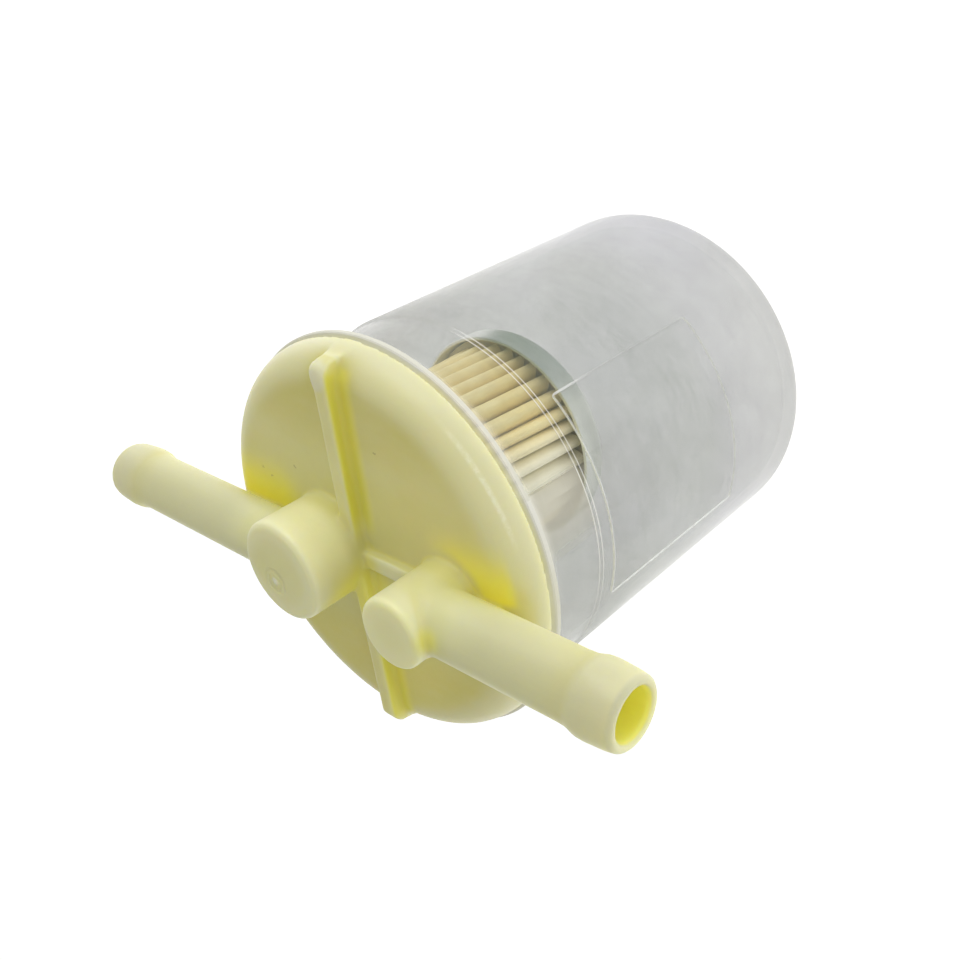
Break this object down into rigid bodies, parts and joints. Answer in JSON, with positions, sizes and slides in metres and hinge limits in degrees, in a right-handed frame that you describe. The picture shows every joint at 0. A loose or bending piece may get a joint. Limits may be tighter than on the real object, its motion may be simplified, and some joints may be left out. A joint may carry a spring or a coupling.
{
  "type": "in-line fuel filter",
  "caption": "Disposable in-line fuel filter: a pleated paper element in a clear moulded bowl under a pale yellow cap with two opposed hose nozzles.",
  "frame": {"origin": "centre of the bowl's flat closed end, at the base of the part as it stands cap up", "axes": "+Z along the bowl's axis towards the cap, +X along the nozzles towards the inlet tip, +Y across the nozzles along the long rib"},
  "size_m": [0.0898, 0.0546, 0.0751],
  "materials": {
    "yellow_plastic": "translucent waxy pale yellow moulded plastic, satin",
    "clear_plastic": "clear, slightly milky moulded plastic, glossy",
    "label_film": "blank clear film, satin, faintly green grey",
    "filter_paper": "pleated resin-treated filter paper, matt cream yellow",
    "white_plastic": "off-white moulded plastic",
    "plated_steel": "pressed tinplate, blue grey, dull",
    "potting_resin": "set potting resin, amber",
    "rubber": "black fuel-proof rubber",
    "tube_plastic": "translucent off-white tube"
  },
  "bodies": {
    "root": {"cap": "yellow_plastic", "outlet_elbow": "yellow_plastic", "inlet_elbow": "yellow_plastic", "bowl": "clear_plastic", "label_film": "label_film", "pleated_paper": "filter_paper", "core_tube": "white_plastic", "far_end_plate": "plated_steel", "near_end_plate": "plated_steel", "far_potting_ring": "potting_resin", "near_potting_ring": "potting_resin", "outlet_seal": "rubber", "inlet_tube": "tube_plastic"}
  },
  "joints": []
}
